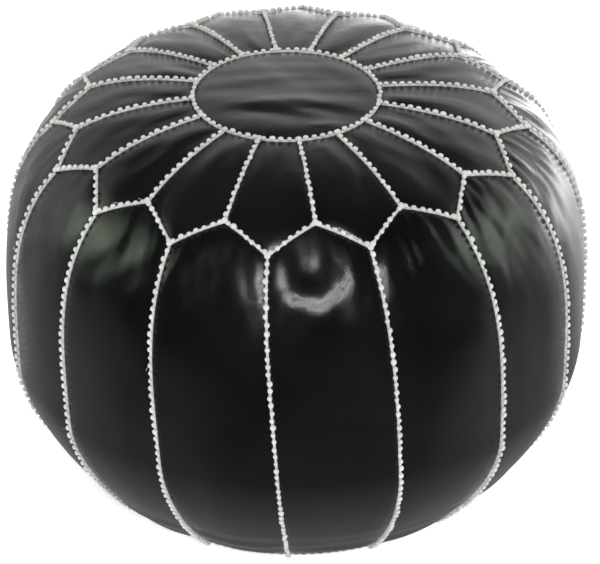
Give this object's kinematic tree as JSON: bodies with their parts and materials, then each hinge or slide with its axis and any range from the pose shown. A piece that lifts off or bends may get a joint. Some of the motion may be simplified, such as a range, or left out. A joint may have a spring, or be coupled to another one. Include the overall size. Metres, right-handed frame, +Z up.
{
  "type": "leather pouf",
  "caption": "Round stuffed leather footstool with a petal-patterned top, raised stitched seams and a zip across the base.",
  "frame": {"origin": "middle of the base, at floor level", "axes": "+Z up through the middle of the top disc; +X along the zip, towards its closed end; the front seam lies near -Y"},
  "size_m": [0.5202, 0.5202, 0.3736],
  "materials": {
    "leather": "gloss",
    "base_leather": "satin",
    "seam_thread": "matte",
    "zip_tape": "matte",
    "zip_metal": "satin",
    "calico": "matte",
    "wadding": "matte"
  },
  "bodies": {
    "pouf": {"top_disc": "leather", "petal_01": "leather", "petal_02": "leather", "petal_03": "leather", "petal_04": "leather", "petal_05": "leather", "petal_06": "leather", "petal_07": "leather", "petal_08": "leather", "petal_09": "leather", "petal_10": "leather", "petal_11": "leather", "petal_12": "leather", "petal_13": "leather", "petal_14": "leather", "petal_15": "leather", "petal_16": "leather", "side_panel_01": "leather", "side_panel_02": "leather", "side_panel_03": "leather", "side_panel_04": "leather", "side_panel_05": "leather", "side_panel_06": "leather", "side_panel_07": "leather", "side_panel_08": "leather", "side_panel_09": "leather", "side_panel_10": "leather", "side_panel_11": "leather", "side_panel_12": "leather", "side_panel_13": "leather", "side_panel_14": "leather", "side_panel_15": "leather", "side_panel_16": "leather", "base_front": "base_leather", "base_back": "base_leather", "disc_seam_cord": "seam_thread", "petal_seam_cords": "seam_thread", "petal_edge_seam_cord": "seam_thread", "side_seam_cords": "seam_thread", "base_seam_cord": "seam_thread", "zip_tape_front": "zip_tape", "zip_tape_back": "zip_tape", "zip_teeth_front": "zip_metal", "zip_teeth_back": "zip_metal", "zip_top_stops": "zip_metal", "zip_bottom_stop": "zip_metal", "liner_bag": "calico", "stuffing": "wadding"},
    "slider": {"zip_slider": "zip_metal"},
    "pull": {"zip_pull": "zip_metal"}
  },
  "joints": [
    {"name": "zip_slide", "type": "slide", "parent": "pouf", "child": "slider", "axis": [-1, 0, 0], "range_m": [0, 0.2214]},
    {"name": "pull_swing", "type": "hinge", "parent": "slider", "child": "pull", "pos_m": [0.1122, 0, 0.00335], "axis": [0, -1, 0], "range_deg": [-4, 171]}
  ]
}
